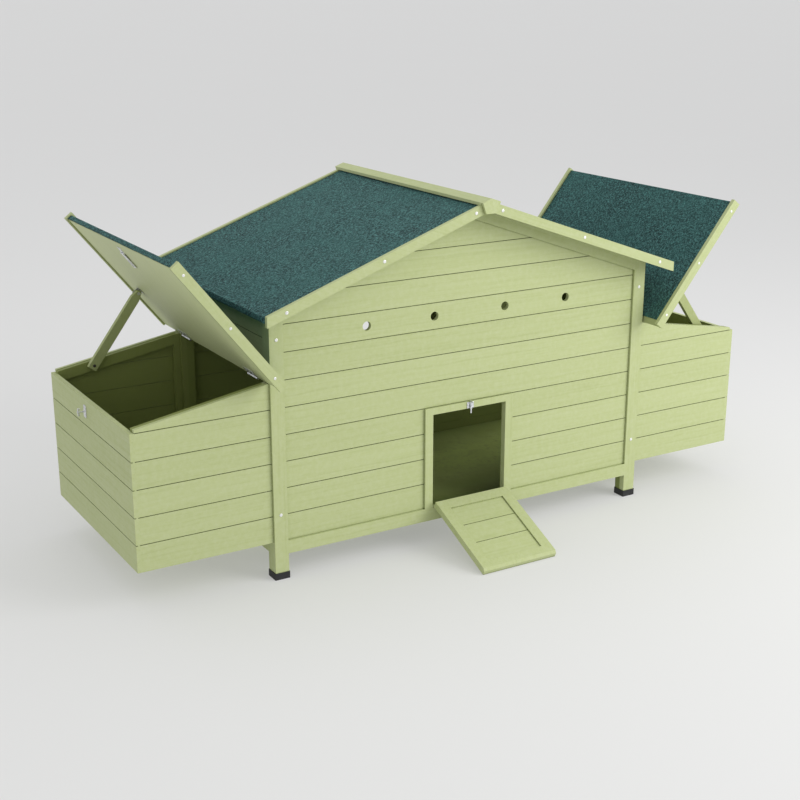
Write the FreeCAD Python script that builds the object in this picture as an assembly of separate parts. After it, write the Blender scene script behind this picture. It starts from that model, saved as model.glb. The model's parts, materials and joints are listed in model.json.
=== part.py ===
import FreeCAD, Part
import math
import os

# Chicken coop on four legs: gabled cabin, a nest box on each side under a hinged lid,
# a pop hole with a drop-down door that is also the ramp. Millimetres, +Z up.
# Drawing frame: X to the right from the cabin's middle, Y back from the front posts'
# front face, Z up from the ground. Every piece is then moved back by FRAME_SHIFT_Y so that
# the origin is at the middle of the whole coop's footprint.

# ---- driving dimensions: cabin
CABIN_W = 1230.0          # over the posts, left to right
CABIN_D = 643.0           # over the posts, front to back
POST = 40.0               # square posts
RAIL_TOP = 107.0          # top of the bottom rails, where the boards start
RAIL_H = 37.0
RAIL_T = 20.0
FOOT_H = 19.0             # rubber cap on each post
FOOT_WALL = 2.0
FOOT_FLOOR = 5.0
BOARD_PITCH = 74.0
BOARD_T = 12.0
BOARD_SET = 7.0           # the boards' faces lie this far behind the posts' faces
GROOVE = 1.0              # cut back from each board edge, two make a shadow gap
GROOVE_DEEP = 5.0
GROOVE_BACK = 2.0         # depth of the same gap on the boards' inner side
FLOOR_T = 9.0
PERCH = 36.0
PERCH_ROUND = 7.0
PERCH_SPREAD = 240.0      # between the two perches
PERCH_UP = 4.0            # perch top above the hinge rails' top edge
CUP_DROP = 6.0            # perch cup's rim below the perch's top
BRACKET_T = 12.0
BRACKET_WALL = 14.0
PERCH_PLAY = 0.6

# ---- driving dimensions: roof
ROOF_PITCH = 19.5         # degrees
EAVE_OUT = 40.0           # roof's end past the posts
EAVE_TOP = 745.0          # top of the rake boards at the eave
ROOF_OVER = 78.0          # overhang past the front and back posts
RAKE_T = 12.0
RAKE_H = 26.5
RAKE_PROUD = 4.0          # rake boards stand this far above the felt
ROOF_BOARD_T = 12.0
FELT_T = 3.0
RAFTER_H = 36.0
CAP_WING = 30.0           # ridge cap board, width of each wing
CAP_T = 7.5
CAP_END_T = 10.0
CAP_END_DROP = 40.0
CAP_END_FOOT = 17.0       # half the end plate's width at its foot
BEAM = 38.0               # ridge beam
EAVE_RAIL_H = 34.0

# ---- driving dimensions: pop hole, ramp and its bolt
HOLE_W = 244.0
HOLE_H = 276.0
JAMB_W = 25.0
HEADER_H = 20.0
RAMP_LEN = 273.0
RAMP_T = 19.0
RAMP_PLAY = 1.5           # each side of the ramp in the pop hole
RAMP_STILE = 32.0
RAMP_TOE = 7.0            # bevel on the toe
RAMP_BOARD_SET = 4.0      # boards lie this far below the frame's face
RAMP_BOARDS = 3
RAMP_AXIS_UP = 1.0        # hinge axis above the rail's top
RAMP_HINGE_X = 70.0
RAMP_HINGE_W = 42.0
BOLT_R = 2.5
BOLT_LEN = 36.0
BOLT_OUT = 13.0           # how far the bolt hangs into the pop hole
BOLT_PLATE_W = 22.0
BOLT_PLATE_H = 18.0
BOLT_PLATE_UP = 1.0       # from the header's lower edge to the plate
LOOP_H = 4.0
KNOB_OUT = 8.0
KNOB_R = 2.0
KNOB_BALL_R = 3.1

# ---- driving dimensions: vents
VENT_R = 12.5
VENT_X = (-327.0, -116.0, 116.0, 327.0)
VENT_BOARD = 7            # counted from 0 at the bottom rail
SLOT_BOARDS = 5           # boards below the middle of the back wall's long vent
SLOT_VENT_L = 170.0
SLOT_VENT_R = 26.0

# ---- driving dimensions: nest boxes and lids
NEST_OUT = 379.0          # from the posts' side faces
NEST_BOARDS = 5           # in the outer wall
NEST_FRAME = 20.0
NEST_RAIL_H = 30.0
NEST_RAIL_T = 15.0
HINGE_Z = 440.0           # lid hinge above the bottom rails' top
OUTER_ROOM = 5.8          # the closed lid's hinge plane above the outer wall's top
LID_OPEN = 51.4           # degrees above level, as it stands propped
LID_START = 19.0          # from the hinge axis to the panel's inner edge, on top
LID_BEVEL = 4.0           # the same on the underside, so that the propped lid clears the posts
LID_PAST = 59.0           # lid's outer edge past the outer wall's face, along the lid
BATTEN_PAST = 4.0         # battens' ends past the lid's outer edge
LID_OVER = 79.0           # battens' faces past the posts' faces, front and back
LID_T = 12.0
LID_BATTEN_T = 12.0
LID_BATTEN_H = 26.0
LID_BATTEN_DOWN = 5.0     # batten below the lid's underside
LID_REST_GAP = 1.1        # closed lid above the nest walls' top
LID_HINGE_END = 95.0      # from each end of the cabin to a hinge's middle

# ---- driving dimensions: hardware
KNUCKLE_R = 3.5
PIN_R = 1.5
FIT = 0.06                # radial clearance of a turning pin
LEAF_T = 1.5
LEAF_L = 25.0
HINGE_W = 60.0
GAP = 0.4                 # between pieces that pass each other
HASP_Y = 298.0            # from the front posts' face, right nest
HASP_PAST = 12.0          # strap's hinge past the outer wall's face, along the lid
HASP_W = 24.0
HASP_LEAF = 20.0
HASP_LEN = 53.0
HASP_R = 2.0
HASP_PIN_R = 1.0
SLOT_L = 26.0
SLOT_W = 9.0
SLOT_AT = 36.0            # slot's middle from the strap's hinge
STAPLE_W = 20.0
STAPLE_H = 34.0
STAPLE_ROUND = 4.0
NECK_R = 2.5
NECK_OUT = 15.5
WING_L = 22.0
WING_W = 6.0
WING_T = 5.0
STAY_S = 181.0            # stay's pivot along the lid
STAY_DROP = 10.0          # stay's pivot below the leaf plane
STAY_LEN = 239.0          # between its two holes
STAY_LEAN = 36.7          # degrees off plumb as it props the lid
STAY_W = 26.0
STAY_T = 14.0
STAY_NOSE = 8.0           # radius of the stay's upper end
STAY_SHOULDER = 17.6      # from the pivot down to the stay's full width
STAY_TAIL = 11.7          # the stay past its lower hole
BRACKET_EDGE = 2.0        # the bracket past the stay's nose, each way
STAY_IN = 4.0             # from the nest's top rail to the stay
BRACKET_LEAF = 2.0
SCREW_R = 4.5
SCREW_H = 1.6
POST_SCREW_UP = 77.0      # lower screw on each post above the rail's top
RAKE_SCREW_IN = 42.0      # innermost screw on a rake board, from the ridge
RAKE_SCREW_OUT = 54.0     # outermost screw on a rake board, from the eave
SLIVER = 50.0             # cut pieces smaller than this, in mm3, are waste

# ---- worked out from the driving dimensions
POST_X = CABIN_W / 2.0
EAVE_X = POST_X + EAVE_OUT
INNER_X = POST_X - POST
TAN = math.tan(math.radians(ROOF_PITCH))
COS = math.cos(math.radians(ROOF_PITCH))
APEX = EAVE_TOP + EAVE_X * TAN
FELT_TOP = RAKE_PROUD / COS
DECK_TOP = FELT_TOP + FELT_T / COS
DECK_UNDER = DECK_TOP + ROOF_BOARD_T / COS
RAFTER_UNDER = DECK_UNDER + RAFTER_H / COS
FRAME_TOP = RAIL_TOP + HOLE_H + HEADER_H
HINGE_X = POST_X + KNUCKLE_R
HINGE_LEVEL = RAIL_TOP + HINGE_Z
NEST_X = POST_X + NEST_OUT
NEST_INNER_X = NEST_X - BOARD_T
NEST_RUN = NEST_X - HINGE_X
LID_FALL = HINGE_Z - NEST_BOARDS * BOARD_PITCH - OUTER_ROOM
LID_SLOPE = math.degrees(math.atan2(LID_FALL, NEST_RUN))  # closed
NEST_REACH = math.hypot(NEST_RUN, LID_FALL)
HASP_AXIS = NEST_REACH + HASP_PAST
LID_END = NEST_REACH + LID_PAST
VENT_Z = RAIL_TOP + (VENT_BOARD + 0.5) * BOARD_PITCH
WALL_IN = BOARD_SET + BOARD_T
RAMP_AXIS_Y = -KNUCKLE_R
RAMP_AXIS_Z = RAIL_TOP + RAMP_AXIS_UP
RAMP_FOOT = RAMP_PLAY - RAMP_AXIS_UP
RAMP_REACH = math.hypot(KNUCKLE_R, RAMP_FOOT + RAMP_LEN)
RAMP_LAG = math.degrees(math.atan2(KNUCKLE_R, RAMP_FOOT + RAMP_LEN))
RAMP_SWING = RAMP_LAG + math.degrees(math.acos(-(RAMP_AXIS_Z - GAP) / RAMP_REACH))
RAMP_TIP_IN = KNUCKLE_R + RAMP_T - RAMP_TOE
RAMP_TIP_Y = (
    RAMP_AXIS_Y
    + RAMP_TIP_IN * math.cos(math.radians(RAMP_SWING))
    - (RAMP_FOOT + RAMP_LEN) * math.sin(math.radians(RAMP_SWING))
)
RIDGE_END = ROOF_OVER + CAP_END_T
FRAME_SHIFT_Y = -(RAMP_TIP_Y + CABIN_D + RIDGE_END) / 2.0
X = FreeCAD.Vector(1, 0, 0)
Y = FreeCAD.Vector(0, 1, 0)
Z = FreeCAD.Vector(0, 0, 1)
O = FreeCAD.Vector(0, 0, 0)


def v(x, y, z):
    return FreeCAD.Vector(x, y, z)


def box(x0, x1, y0, y1, z0, z1):
    return Part.makeBox(x1 - x0, y1 - y0, z1 - z0, v(x0, y0, z0))


def rod(radius, start, direction, length):
    return Part.makeCylinder(radius, length, start, direction)


def prism_y(points, y0, y1):
    """A solid whose outline is in the XZ plane, from y0 to y1."""
    ring = [v(x, y0, z) for x, z in points]
    return Part.Face(Part.makePolygon(ring + ring[:1])).extrude(v(0, y1 - y0, 0))


def prism_x(points, x0, x1):
    """A solid whose outline is in the YZ plane, from x0 to x1."""
    ring = [v(x0, y, z) for y, z in points]
    return Part.Face(Part.makePolygon(ring + ring[:1])).extrude(v(x1 - x0, 0, 0))


def group(shapes):
    """Separate solids kept together in one node."""
    solids = []
    for shape in shapes:
        solids.extend(shape.Solids)
    return Part.makeCompound(solids)


def half_turn(shape):
    """The left copy of a piece on the right: half a turn about the cabin's middle."""
    copy = shape.copy()
    copy.rotate(v(0, CABIN_D / 2.0, 0), Z, 180)
    return copy


def back_copy(shape):
    """The back copy of a piece at the front."""
    return shape.mirror(v(0, CABIN_D / 2.0, 0), Y)


def side_copy(shape):
    """The left copy of a piece on the right, mirrored about the cabin's middle."""
    return shape.mirror(O, X)


def roof_z(x, below):
    """Height of a line below the rake boards' top edge, measured plumb."""
    return APEX - abs(x) * TAN - below


def board_outline(depth, z0, z1, low_gap, high_gap):
    """A board's section, (depth from its face, height), with its meeting edges cut back."""
    face_low = z0 + (GROOVE if low_gap else 0.0)
    face_high = z1 - (GROOVE if high_gap else 0.0)
    outline = [(0.0, face_low)]
    if low_gap:
        outline += [(GROOVE_DEEP, face_low), (GROOVE_DEEP, z0)]
    inside = depth - GROOVE_BACK
    if low_gap:
        outline += [(inside, z0), (inside, face_low)]
        outline.append((depth, face_low))
    else:
        outline.append((depth, z0))
    if high_gap:
        outline += [(depth, face_high), (inside, face_high), (inside, z1)]
        outline += [(GROOVE_DEEP, z1), (GROOVE_DEEP, face_high)]
    else:
        outline.append((depth, z1))
    outline.append((0.0, face_high))
    return outline


def board(length, height, low_gap, high_gap):
    """One board along +X with its face at y = 0."""
    return prism_x(board_outline(BOARD_T, 0.0, height, low_gap, high_gap), 0.0, length)


def board_stack(length, height):
    """Boards from z = 0 up to the height, the last one ripped to fit."""
    boards = []
    count = int(math.ceil(height / BOARD_PITCH - 1e-6))
    for k in range(count):
        z = k * BOARD_PITCH
        tall = min(BOARD_PITCH, height - z)
        piece = board(length, tall, k > 0, k < count - 1)
        piece.translate(v(0, 0, z))
        boards.append(piece)
    return boards


def placed(shapes, x, y, z, turn=0.0):
    out = []
    for shape in shapes:
        copy = shape.copy()
        copy.rotate(O, Z, turn)
        copy.translate(v(x, y, z))
        out.append(copy)
    return out


def trimmed(shapes, keep):
    """The shapes' parts inside another solid, without slivers."""
    out = []
    for shape in shapes:
        out.extend(s for s in shape.common(keep).Solids if s.Volume > SLIVER)
    return out


def without(shapes, tool):
    out = []
    for shape in shapes:
        out.extend(s for s in shape.cut(tool).Solids if s.Volume > SLIVER)
    return out


# ---- cabin


def post(x_sign, back):
    """A corner post, its top cut to the roof's slope, its lower end in the foot cap."""
    low = FOOT_FLOOR
    outline = [
        (INNER_X, low),
        (POST_X, low),
        (POST_X, roof_z(POST_X, DECK_UNDER)),
        (INNER_X, roof_z(INNER_X, DECK_UNDER)),
    ]
    piece = prism_y(outline, 0.0, POST)
    if x_sign < 0:
        piece = side_copy(piece)
    return back_copy(piece) if back else piece


def foot_cap(x_sign, back):
    """A rubber cup pushed up over the post's lower end."""
    cup = box(
        INNER_X - FOOT_WALL, POST_X + FOOT_WALL, -FOOT_WALL, POST + FOOT_WALL, 0.0, FOOT_H
    )
    upright = [e for e in cup.Edges if abs(e.tangentAt(e.FirstParameter).z) > 0.9]
    cup = cup.makeFillet(FOOT_WALL, upright)
    cup = cup.cut(box(INNER_X, POST_X, 0.0, POST, FOOT_FLOOR, FOOT_H))
    if x_sign < 0:
        cup = side_copy(cup)
    return back_copy(cup) if back else cup


def bottom_rails():
    low = RAIL_TOP - RAIL_H
    front = box(-INNER_X, INNER_X, 0.0, RAIL_T, low, RAIL_TOP)
    side = box(POST_X - RAIL_T, POST_X, POST, CABIN_D - POST, low, RAIL_TOP)
    return [front, back_copy(front), side, side_copy(side)]


def hinge_rail():
    """The rail on the right that carries the lid's hinges."""
    return box(
        POST_X - RAIL_T, POST_X, POST, CABIN_D - POST, HINGE_LEVEL, HINGE_LEVEL + RAIL_H
    )


def gable_rafter():
    """The sloping batten along the top of the front wall's right half."""
    outline = [
        (0.0, roof_z(0.0, DECK_UNDER)),
        (INNER_X, roof_z(INNER_X, DECK_UNDER)),
        (INNER_X, roof_z(INNER_X, RAFTER_UNDER)),
        (0.0, roof_z(0.0, RAFTER_UNDER)),
    ]
    return prism_y(outline, 0.0, WALL_IN)


def roof_beams():
    """The ridge beam between the gables and the rail under each eave."""
    top = roof_z(BEAM / 2.0, DECK_UNDER)
    peak = roof_z(0.0, DECK_UNDER)
    low = peak - BEAM
    half = BEAM / 2.0
    outline = [(-half, low), (half, low), (half, top), (0.0, peak), (-half, top)]
    ridge = prism_y(outline, WALL_IN, CABIN_D - WALL_IN)
    inner = POST_X - BOARD_SET - BOARD_T
    back = inner - RAIL_T
    eave = prism_y(
        [
            (back, roof_z(back, DECK_UNDER) - EAVE_RAIL_H),
            (inner, roof_z(back, DECK_UNDER) - EAVE_RAIL_H),
            (inner, roof_z(inner, DECK_UNDER)),
            (back, roof_z(back, DECK_UNDER)),
        ],
        POST,
        CABIN_D - POST,
    )
    return [ridge, eave, side_copy(eave)]


def gable_keep(y0, y1):
    """The space between the posts and under the gable rafters."""
    base = RAIL_TOP - 1.0
    outline = [
        (-INNER_X, base),
        (INNER_X, base),
        (INNER_X, roof_z(INNER_X, RAFTER_UNDER)),
        (0.0, roof_z(0.0, RAFTER_UNDER)),
        (-INNER_X, roof_z(INNER_X, RAFTER_UNDER)),
    ]
    return prism_y(outline, y0, y1)


def gable_wall():
    """The boards of a gable, with the vent holes."""
    height = roof_z(0.0, RAFTER_UNDER) - RAIL_TOP
    boards = placed(board_stack(2 * INNER_X, height), -INNER_X, BOARD_SET, RAIL_TOP)
    boards = trimmed(boards, gable_keep(0.0, POST))
    for x in VENT_X:
        boards = without(boards, rod(VENT_R, v(x, 0.0, VENT_Z), Y, POST))
    return boards


def back_wall():
    """The back gable: the same boards, with a long vent low in the middle."""
    level = RAIL_TOP + SLOT_BOARDS * BOARD_PITCH
    run = SLOT_VENT_L / 2.0 - SLOT_VENT_R
    slot = box(-run, run, 0.0, POST, level - SLOT_VENT_R, level + SLOT_VENT_R)
    for x in (-run, run):
        slot = slot.fuse(rod(SLOT_VENT_R, v(x, 0.0, level), Y, POST))
    return [back_copy(b) for b in without(gable_wall(), slot)]


def pop_hole_cut():
    half = HOLE_W / 2.0 + JAMB_W
    return box(-half, half, -1.0, POST, RAIL_TOP - 1.0, FRAME_TOP)


def pop_hole_frame():
    """Two jambs and a header round the pop hole, flush with the posts."""
    inner = HOLE_W / 2.0
    outer = inner + JAMB_W
    jamb = box(inner, outer, 0.0, RAIL_T, RAIL_TOP, FRAME_TOP)
    header = box(-inner, inner, 0.0, RAIL_T, RAIL_TOP + HOLE_H, FRAME_TOP)
    return [jamb, side_copy(jamb), header]


def side_wall():
    """The boards above the hinge rail on the right side, up to the roof."""
    face = POST_X - BOARD_SET
    low = HINGE_LEVEL + RAIL_H
    top = roof_z(face, DECK_UNDER) - low
    boards = placed(board_stack(CABIN_D - 2 * POST, top), face, POST, low, 90.0)
    keep = prism_y(
        [
            (face - BOARD_T, low),
            (face, low),
            (face, roof_z(face, DECK_UNDER)),
            (face - BOARD_T, roof_z(face, DECK_UNDER)),
        ],
        POST,
        CABIN_D - POST,
    )
    return trimmed(boards, keep)


def cabin_floor():
    """A panel low down between the bottom rails, notched round the posts."""
    edge = POST_X - RAIL_T
    low = RAIL_TOP - RAIL_H
    top = low + FLOOR_T
    panel = box(-edge, edge, RAIL_T, CABIN_D - RAIL_T, low, top)
    for x in (-edge, INNER_X):
        for y in (RAIL_T, CABIN_D - POST):
            notch = box(x, x + POST - RAIL_T, y, y + POST - RAIL_T, 0.0, top + 1.0)
            panel = panel.cut(notch)
    return panel


def perch_top():
    return HINGE_LEVEL + RAIL_H + PERCH_UP


def perch_at(y):
    reach = POST_X - RAIL_T - GAP
    top = perch_top()
    bar = box(-reach, reach, y - PERCH / 2.0, y + PERCH / 2.0, top - PERCH, top)
    long_edges = [e for e in bar.Edges if abs(e.tangentAt(e.FirstParameter).x) > 0.9]
    return bar.makeFillet(PERCH_ROUND, long_edges)


def perch_bracket(y):
    """An open-topped cup on the right hinge rail that a perch's end drops into."""
    wall = POST_X - RAIL_T
    half = PERCH / 2.0 + BRACKET_WALL
    top = perch_top()
    low = top - PERCH - BRACKET_WALL
    cup = box(wall - BRACKET_T, wall, y - half, y + half, low, top - CUP_DROP)
    slot = PERCH / 2.0 + PERCH_PLAY
    return cup.cut(box(wall - POST, wall + 1.0, y - slot, y + slot, top - PERCH, top))


def perch_places():
    middle = CABIN_D / 2.0
    return (middle - PERCH_SPREAD / 2.0, middle + PERCH_SPREAD / 2.0)


# ---- roof


def roof_slab(upper, lower, x0, x1, y0, y1):
    """A sloping slab on the right side between two lines below the rake's top edge."""
    outline = [
        (x0, roof_z(x0, upper)),
        (x1, roof_z(x1, upper)),
        (x1, roof_z(x1, lower)),
        (x0, roof_z(x0, lower)),
    ]
    return prism_y(outline, y0, y1)


def roof_panel():
    y0 = -ROOF_OVER + RAKE_T
    return roof_slab(DECK_TOP, DECK_UNDER, 0.0, EAVE_X - FELT_T, y0, CABIN_D - y0)


def roof_felt():
    """Felt over the panel, turned down over the eave edge."""
    y0 = -ROOF_OVER + RAKE_T
    top = roof_slab(FELT_TOP, DECK_TOP, 0.0, EAVE_X - FELT_T, y0, CABIN_D - y0)
    lip = roof_slab(FELT_TOP, DECK_UNDER, EAVE_X - FELT_T, EAVE_X, y0, CABIN_D - y0)
    return top.fuse(lip).removeSplitter()


def rake_board():
    """The batten that covers the roof's front edge on the right."""
    return roof_slab(0.0, RAKE_H / COS, 0.0, EAVE_X, -ROOF_OVER, -ROOF_OVER + RAKE_T)


def ridge_cap():
    """Two boards over the ridge, closed by a five-sided plate at each end."""
    wing = CAP_WING * COS
    lift = CAP_T / COS
    y0 = -ROOF_OVER
    outline = [
        (0.0, roof_z(0.0, -lift)),
        (wing, roof_z(wing, -lift)),
        (wing, roof_z(wing, 0.0)),
        (0.0, roof_z(0.0, 0.0)),
    ]
    right = prism_y(outline, y0, CABIN_D - y0)
    plate = prism_y(
        [
            (0.0, roof_z(0.0, -lift)),
            (wing, roof_z(wing, -lift)),
            (CAP_END_FOOT, roof_z(0.0, -lift) - CAP_END_DROP),
            (-CAP_END_FOOT, roof_z(0.0, -lift) - CAP_END_DROP),
            (-wing, roof_z(wing, -lift)),
        ],
        y0 - CAP_END_T,
        y0,
    )
    return [right, side_copy(right), plate, back_copy(plate)]


# ---- hinges shared by the lids and the ramp, drawn along +Y with the axis through O


def leaf_with_knuckles(width, spans, bore, leaf):
    """A hinge leaf and the knuckles it is rolled into."""
    body = leaf
    for y0, y1 in spans:
        body = body.fuse(rod(KNUCKLE_R, v(0, y0, 0), Y, y1 - y0))
    for y0, y1 in other_spans(width, spans):
        clear = KNUCKLE_R + GAP
        body = body.cut(rod(clear, v(0, y0 - GAP, 0), Y, y1 - y0 + 2 * GAP))
    body = body.cut(rod(bore, v(0, -width, 0), Y, 2 * width))
    return body.removeSplitter()


def knuckle_spans(width):
    """The outer two knuckles, on the fixed leaf, and the middle one on the moving leaf."""
    third = width / 3.0
    outer = [(-width / 2.0, -third / 2.0 - GAP), (third / 2.0 + GAP, width / 2.0)]
    return outer, [(-third / 2.0, third / 2.0)]


def other_spans(width, spans):
    outer, middle = knuckle_spans(width)
    return middle if spans == outer else outer


def face_leaf(width, fixed, z0, z1):
    """A leaf flat against a face at x = -KNUCKLE_R, between two levels from the axis."""
    outer, middle = knuckle_spans(width)
    half = width / 2.0
    plate = box(-KNUCKLE_R, -KNUCKLE_R + LEAF_T, -half, half, z0, z1)
    if fixed:
        return leaf_with_knuckles(width, outer, PIN_R, plate)
    return leaf_with_knuckles(width, middle, PIN_R + FIT, plate)


def moving_leaf(width):
    """The leaf that lies along +X from the axis, its upper face at z = LEAF_T."""
    _, middle = knuckle_spans(width)
    half = width / 2.0
    plate = box(0.0, LEAF_L, -half, half, 0.0, LEAF_T)
    return leaf_with_knuckles(width, middle, PIN_R + FIT, plate)


def hinge_pin(width):
    return rod(PIN_R, v(0, -width / 2.0, 0), Y, width)


# ---- nest box on the right


def nest_top(x):
    """Height of the nest walls' sloping top edge above the ground."""
    fall = (x - HINGE_X) * math.tan(math.radians(LID_SLOPE))
    lift = LEAF_T / math.cos(math.radians(LID_SLOPE))
    return HINGE_LEVEL + lift - fall - LID_REST_GAP


def nest_outer_wall():
    stack = board_stack(CABIN_D - 2 * BOARD_SET, NEST_BOARDS * BOARD_PITCH)
    return placed(stack, NEST_X, BOARD_SET, RAIL_TOP, 90.0)


def nest_slope_keep(x0, x1, y0, y1, low):
    return prism_y([(x0, low), (x1, low), (x1, nest_top(x1)), (x0, nest_top(x0))], y0, y1)


def nest_end_wall():
    """The front wall of the nest, its top cut to the lid's slope."""
    stack = board_stack(NEST_INNER_X - POST_X, nest_top(POST_X) - RAIL_TOP)
    stack = placed(stack, POST_X, BOARD_SET, RAIL_TOP)
    keep = nest_slope_keep(POST_X, NEST_INNER_X, 0.0, POST, RAIL_TOP)
    return trimmed(stack, keep)


def nest_frame():
    """Inside battens at the front: a corner post at each end and the sloping top rail."""
    low = RAIL_TOP + FLOOR_T
    y0 = WALL_IN
    drop = LID_REST_GAP
    outline = [
        (POST_X, nest_top(POST_X) - drop),
        (NEST_INNER_X, nest_top(NEST_INNER_X) - drop),
        (NEST_INNER_X, nest_top(NEST_INNER_X) - drop - NEST_RAIL_H),
        (POST_X, nest_top(POST_X) - drop - NEST_RAIL_H),
    ]
    rail = prism_y(outline, y0, y0 + NEST_RAIL_T)
    posts = []
    for x0, x1 in ((POST_X, POST_X + NEST_FRAME), (NEST_INNER_X - NEST_FRAME, NEST_INNER_X)):
        foot_line = nest_top(POST_X) - drop - NEST_RAIL_H
        slope = math.tan(math.radians(LID_SLOPE))
        posts.append(
            prism_y(
                [
                    (x0, low),
                    (x1, low),
                    (x1, foot_line - (x1 - POST_X) * slope),
                    (x0, foot_line - (x0 - POST_X) * slope),
                ],
                y0,
                y0 + NEST_RAIL_T,
            )
        )
    return [rail] + posts


def nest_floor():
    z = RAIL_TOP
    return box(POST_X, NEST_INNER_X, WALL_IN, CABIN_D - WALL_IN, z, z + FLOOR_T)


# ---- lid on the right, drawn closed and level with its hinge axis through O


def lid_pose(shape):
    """From the level drawing to the propped lid on the right side."""
    copy = shape.copy()
    copy.rotate(O, v(0, -1, 0), LID_OPEN)
    copy.translate(v(HINGE_X, 0, HINGE_LEVEL))
    return copy


def lid_panel():
    y0 = -LID_OVER + LID_BATTEN_T
    top = LEAF_T + LID_T
    end = LID_END - FELT_T
    outline = [(LID_BEVEL, LEAF_T), (end, LEAF_T), (end, top), (LID_START, top)]
    return prism_y(outline, y0, CABIN_D - y0)


def lid_felt():
    y0 = -LID_OVER + LID_BATTEN_T
    top = LEAF_T + LID_T
    sheet = box(LID_START, LID_END, y0, CABIN_D - y0, top, top + FELT_T)
    lip = box(LID_END - FELT_T, LID_END, y0, CABIN_D - y0, LEAF_T, top)
    return sheet.fuse(lip).removeSplitter()


def lid_battens():
    low = LEAF_T - LID_BATTEN_DOWN
    end = LID_END + BATTEN_PAST
    front = box(LID_BEVEL, end, -LID_OVER, -LID_OVER + LID_BATTEN_T, low, low + LID_BATTEN_H)
    return [front, back_copy(front)]


def lid_hinge_places():
    return (LID_HINGE_END, CABIN_D - LID_HINGE_END)


def at_y(shape, y):
    copy = shape.copy()
    copy.translate(v(0, y, 0))
    return copy


def hasp_leaf():
    """The fixed leaf of the hasp on the lid's underside, with its two outer knuckles."""
    half = HASP_W / 2.0
    third = HASP_W / 6.0
    x = HASP_AXIS
    y = HASP_Y
    body = box(x, x + HASP_LEAF, y - half, y + half, 0.0, LEAF_T)
    outer = ((-half, -third - GAP), (third + GAP, half))
    for y0, y1 in outer:
        body = body.fuse(box(x - HASP_R, x + HASP_R, y + y0, y + y1, -HASP_R, LEAF_T))
    room = third + GAP
    body = body.cut(rod(HASP_R + GAP, v(x, y - room, -HASP_R), Y, 2 * room))
    for y0, y1 in outer:
        body = body.fuse(rod(HASP_R, v(x, y + y0, -HASP_R), Y, y1 - y0))
    pin = rod(HASP_PIN_R, v(x, y - half, -HASP_R), Y, HASP_W)
    return [body.fuse(pin).removeSplitter()]


def hasp_strap():
    """The strap folded in along the lid's underside, with its slot."""
    half = HASP_W / 2.0
    third = HASP_W / 6.0
    low = -HASP_R - LEAF_T / 2.0
    tip = HASP_AXIS - HASP_LEN
    root = HASP_AXIS - HASP_R - 2 * GAP
    strap = box(tip, root, HASP_Y - half, HASP_Y + half, low, low + LEAF_T)
    ends = [
        e
        for e in strap.Edges
        if abs(e.tangentAt(e.FirstParameter).z) > 0.9 and e.Vertexes[0].X < tip + 1.0
    ]
    strap = strap.makeFillet(HASP_W / 4.0, ends)
    knuckle = rod(HASP_R, v(HASP_AXIS, HASP_Y - third, -HASP_R), Y, 2 * third)
    tongue = box(root - 1.0, HASP_AXIS, HASP_Y - third, HASP_Y + third, low, low + LEAF_T)
    mid = HASP_AXIS - SLOT_AT
    run = (SLOT_L - SLOT_W) / 2.0
    slot = box(
        mid - run, mid + run, HASP_Y - SLOT_W / 2.0, HASP_Y + SLOT_W / 2.0, -POST, POST
    )
    for x in (mid - run, mid + run):
        slot = slot.fuse(rod(SLOT_W / 2.0, v(x, HASP_Y, -POST), Z, 2 * POST))
    body = strap.fuse(knuckle).fuse(tongue).cut(slot)
    bore = rod(HASP_PIN_R + FIT, v(HASP_AXIS, HASP_Y - half, -HASP_R), Y, HASP_W)
    return body.cut(bore).removeSplitter()


def stay_y():
    """Where the stay's slab starts, beside the nest's front top rail."""
    return WALL_IN + NEST_RAIL_T + STAY_IN


def stay_bracket():
    """A steel angle on the lid's underside with the stay's pivot pin."""
    y0 = stay_y()
    tab_y = y0 - GAP - BRACKET_LEAF
    half = STAY_NOSE + BRACKET_EDGE
    foot = box(STAY_S - half, STAY_S + half, tab_y, y0 + STAY_T, 0.0, LEAF_T)
    tab = box(STAY_S - half, STAY_S + half, tab_y, tab_y + BRACKET_LEAF, -STAY_DROP - half, 0.0)
    pin = rod(BOLT_R, v(STAY_S, tab_y, -STAY_DROP), Y, STAY_T + BRACKET_LEAF + 2 * GAP)
    head = rod(SCREW_R, v(STAY_S, y0 + STAY_T + GAP, -STAY_DROP), Y, SCREW_H)
    return foot.fuse(tab).fuse(pin).fuse(head).removeSplitter()


def stay():
    """The wooden prop, drawn where it stands: plumb from the pivot, then leaned out."""
    y0 = stay_y()
    half = STAY_W / 2.0
    foot = -STAY_LEN - STAY_TAIL
    outline = [
        (-STAY_NOSE, 0.0),
        (STAY_NOSE, 0.0),
        (half, -STAY_SHOULDER),
        (half, foot),
        (-half, foot),
        (-half, -STAY_SHOULDER),
    ]
    bar = prism_y(outline, y0, y0 + STAY_T)
    bar = bar.fuse(rod(STAY_NOSE, v(0, y0, 0), Y, STAY_T)).removeSplitter()
    bar = bar.cut(rod(BOLT_R + FIT, v(0, y0 - 1.0, 0), Y, STAY_T + 2.0))
    screw = rod(SCREW_R, v(0, y0 + STAY_T, -STAY_LEN), Y, SCREW_H)
    out = []
    for shape in (bar, screw):
        shape.rotate(O, Y, -STAY_LEAN)
        open_angle = math.radians(LID_OPEN)
        along = STAY_S * math.cos(open_angle) + STAY_DROP * math.sin(open_angle)
        up = STAY_S * math.sin(open_angle) - STAY_DROP * math.cos(open_angle)
        shape.translate(v(HINGE_X + along, 0, HINGE_LEVEL + up))
        out.append(shape)
    return out


def staple_level():
    """Height of the staple: where the strap's slot hangs when the lid is closed."""
    slope = math.radians(LID_SLOPE)
    axis = HINGE_LEVEL - HASP_AXIS * math.sin(slope) - HASP_R * math.cos(slope)
    return axis - SLOT_AT


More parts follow.
